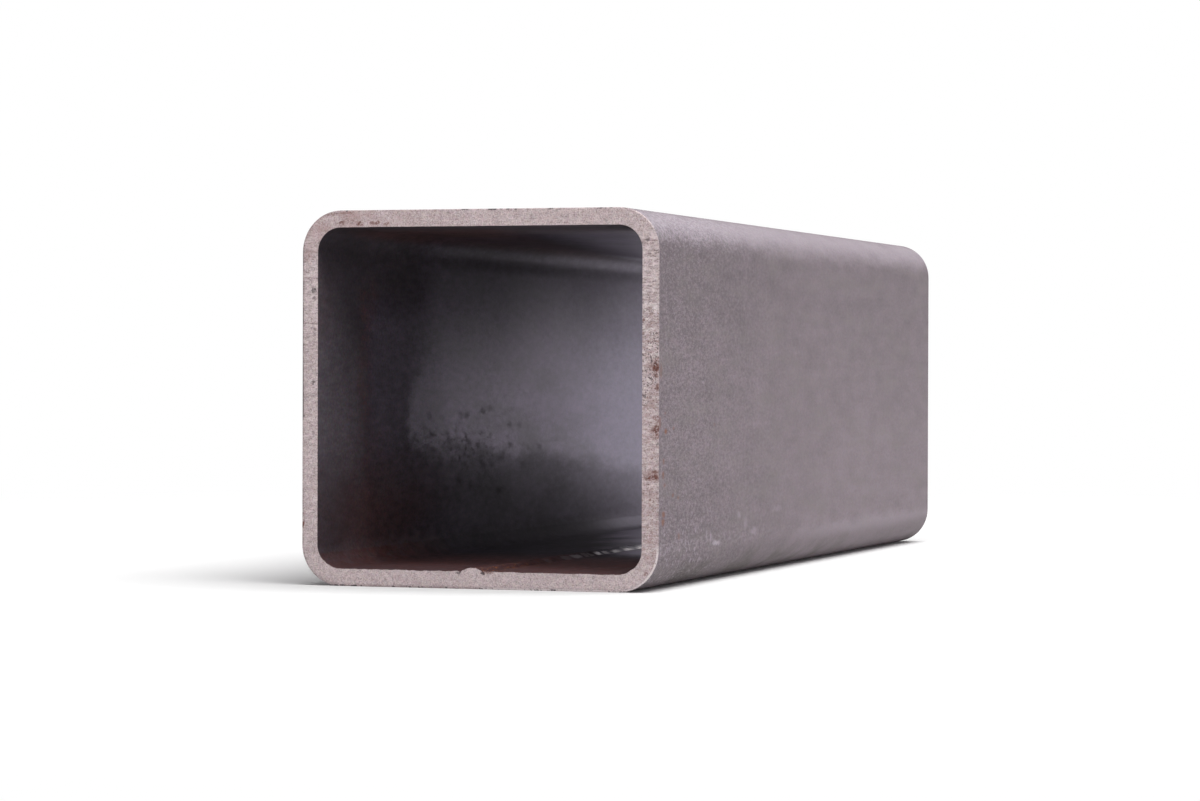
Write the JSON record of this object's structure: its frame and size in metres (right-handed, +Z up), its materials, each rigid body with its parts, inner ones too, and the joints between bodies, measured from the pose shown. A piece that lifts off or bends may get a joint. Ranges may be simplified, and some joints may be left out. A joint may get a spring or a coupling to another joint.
{
  "type": "square metal tube",
  "caption": "Straight square steel tube with rounded corners, an even wall, an open square bore and a low weld seam along the bore's floor, sawn square at both ends.",
  "frame": {"origin": "middle of the bottom face", "axes": "+Y along the tube's length, +Z up, +X across, to the right of a viewer who looks along +Y into the front end"},
  "size_m": [0.1, 0.3, 0.1],
  "materials": {
    "steel": "dull mill finish outside, darker mill scale with a little rust inside, bright sawn ends"
  },
  "bodies": {
    "root": {"square_tube": "steel"}
  },
  "joints": []
}
